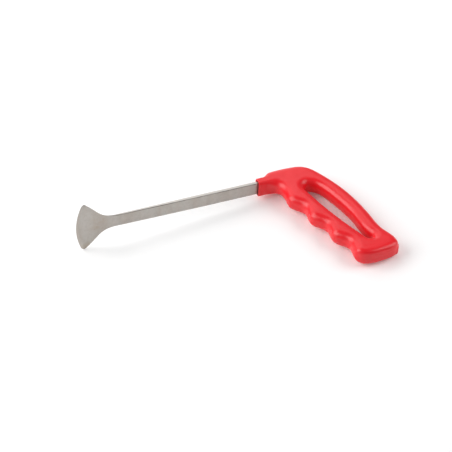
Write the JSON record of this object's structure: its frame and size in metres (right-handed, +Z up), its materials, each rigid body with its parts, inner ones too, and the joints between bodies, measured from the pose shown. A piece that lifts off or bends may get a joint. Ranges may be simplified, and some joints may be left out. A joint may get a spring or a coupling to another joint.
{
  "type": "hive tool",
  "caption": "Beekeeper's hive scraper: a flat steel shank flared into a curved blade, with a slotted D grip shaped for the fingers.",
  "frame": {"origin": "on the resting plane, under the middle of the tool's bounding box, with the tool lying on its side", "axes": "+X along the shank from the blade to the handle, -Y towards the butt of the grip, +Z up through the handle's thickness"},
  "size_m": [0.2192, 0.1152, 0.0429],
  "materials": {
    "steel": "forged flat bar, tumbled dull, ground cutting edge",
    "red_plastic": "moulded polypropylene, satin gloss"
  },
  "bodies": {
    "root": {"blade_and_shank": "steel", "handle": "red_plastic"}
  },
  "joints": []
}
